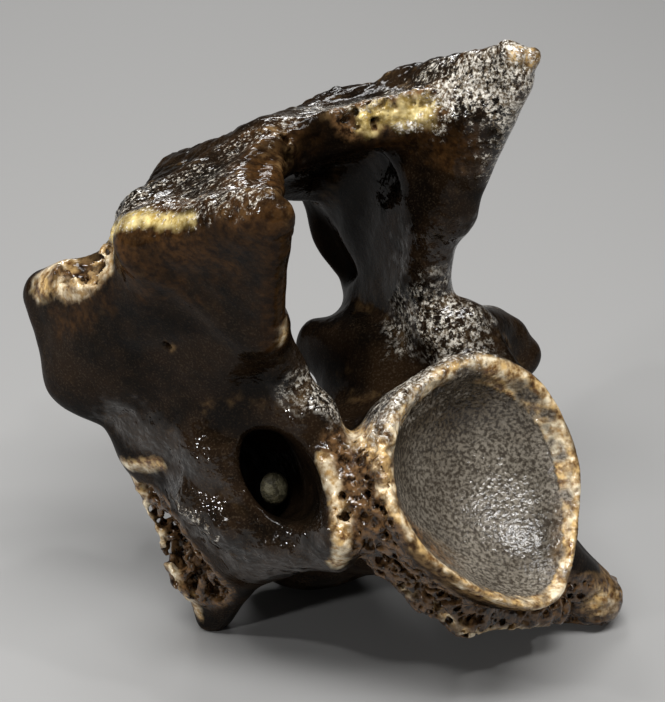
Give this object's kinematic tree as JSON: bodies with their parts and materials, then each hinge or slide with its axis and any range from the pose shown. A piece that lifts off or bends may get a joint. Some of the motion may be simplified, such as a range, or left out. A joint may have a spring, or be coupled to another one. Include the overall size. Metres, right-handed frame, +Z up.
{
  "type": "fossil vertebra",
  "caption": "Fossil neck vertebra of a reindeer: cupped body, canal and arch, with broken side wings, lying as found.",
  "frame": {"origin": "middle of the bounding box's footprint, on the surface that the bone lies on", "axes": "+Z up; the view of the picture looks along +Y and down by about 30 degrees, with +X to its right"},
  "size_m": [0.0874, 0.0742, 0.0906],
  "materials": {
    "bone": "dark brown fossil bone, glossy with sealer, tan on worn edges",
    "pebble": "grey-green pebble, dull"
  },
  "bodies": {
    "root": {"vertebra": "bone", "lodged_pebble": "pebble"}
  },
  "joints": []
}
